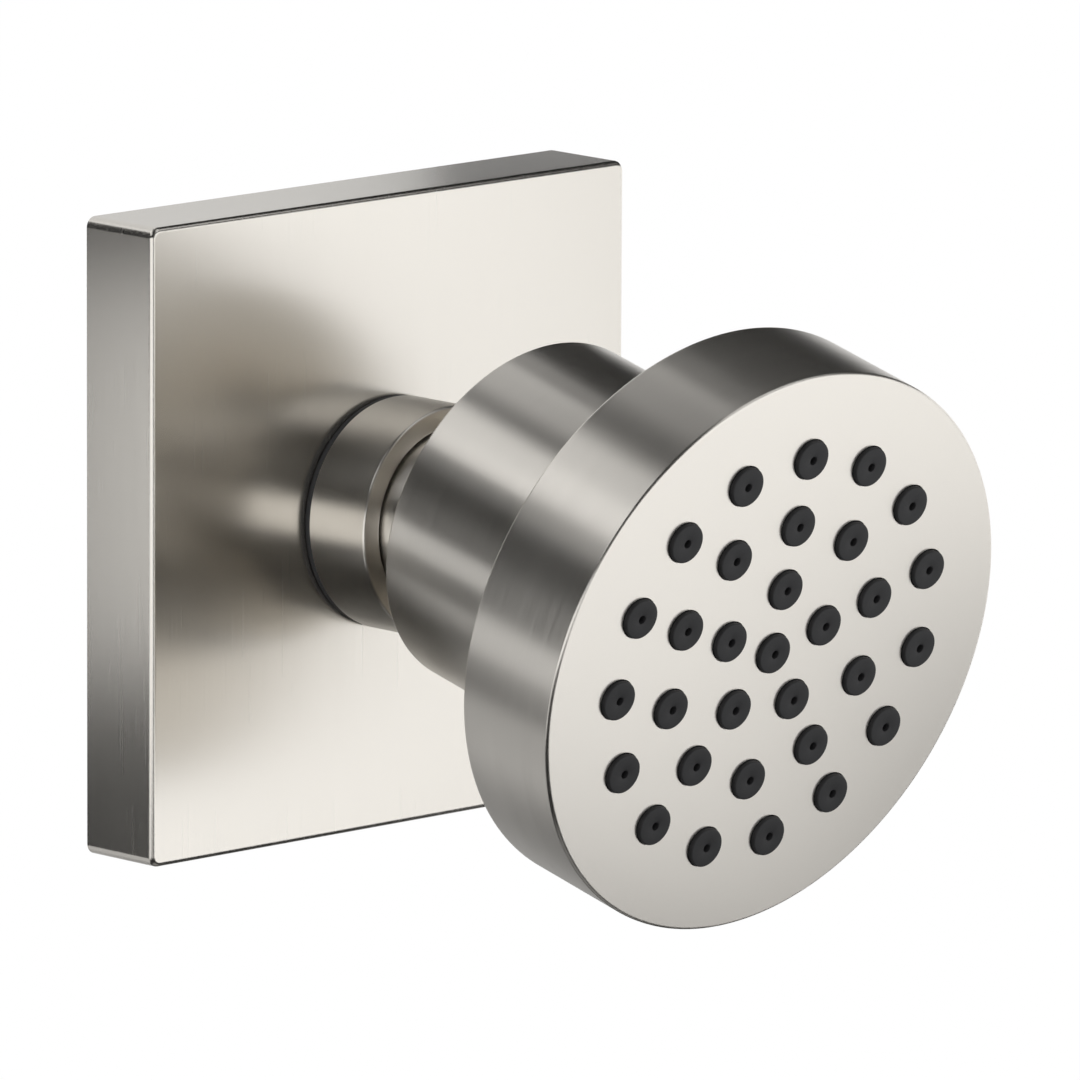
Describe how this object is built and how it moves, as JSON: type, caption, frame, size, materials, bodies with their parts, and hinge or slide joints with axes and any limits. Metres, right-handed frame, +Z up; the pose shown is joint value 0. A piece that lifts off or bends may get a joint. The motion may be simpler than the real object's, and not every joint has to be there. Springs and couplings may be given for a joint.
{
  "type": "shower body jet",
  "caption": "Shower body jet: round spray head with soft nozzles on a swivelling ball joint and short sleeve, standing on a square wall plate with a threaded inlet behind.",
  "frame": {"origin": "centre of the wall plate's back, where the inlet's axis meets the wall plane", "axes": "+Z up, +Y into the wall along the inlet, spray head towards -Y"},
  "size_m": [0.06, 0.0817, 0.0628],
  "materials": {
    "satin_nickel": "brushed nickel plating on brass",
    "raw_brass": "turned brass",
    "black_rubber": "matt rubber",
    "black_silicone": "soft satin silicone",
    "white_plastic": "moulded plastic",
    "spring_steel": "stainless steel"
  },
  "bodies": {
    "wall_fitting": {"wall_plate": "satin_nickel", "plate_gasket": "black_rubber", "sleeve_ring": "black_rubber", "sleeve": "satin_nickel", "inlet_nipple": "raw_brass", "thread_seal": "black_rubber", "strainer_washer": "black_rubber", "strainer_mesh": "spring_steel", "flow_regulator": "white_plastic", "regulator_o_ring": "black_rubber"},
    "swivel_stem": {"ball_stem": "satin_nickel", "stem_o_rings": "black_rubber", "stem_clip": "spring_steel", "slide_washer": "white_plastic"},
    "ball_seat": {"thrust_ring": "white_plastic", "ball_seal": "black_rubber"},
    "spray_head": {"retaining_nut": "satin_nickel", "spring_washer": "spring_steel", "head_body": "satin_nickel", "cup_o_ring": "black_rubber", "spray_cup": "satin_nickel", "nozzle_mat": "black_silicone", "backing_plate": "white_plastic"}
  },
  "joints": [
    {"name": "head_swivel", "type": "hinge", "parent": "wall_fitting", "child": "swivel_stem", "pos_m": [0, -0.036, 0], "axis": [0, -1, 0], "continuous": true},
    {"name": "head_tilt", "type": "hinge", "parent": "swivel_stem", "child": "ball_seat", "pos_m": [0, -0.036, 0], "axis": [1, 0, 0], "range_deg": [-34.5, 5.5]},
    {"name": "head_spin", "type": "hinge", "parent": "ball_seat", "child": "spray_head", "pos_m": [0, -0.036, 0], "axis": [0, -0.9681, -0.2504], "continuous": true}
  ]
}
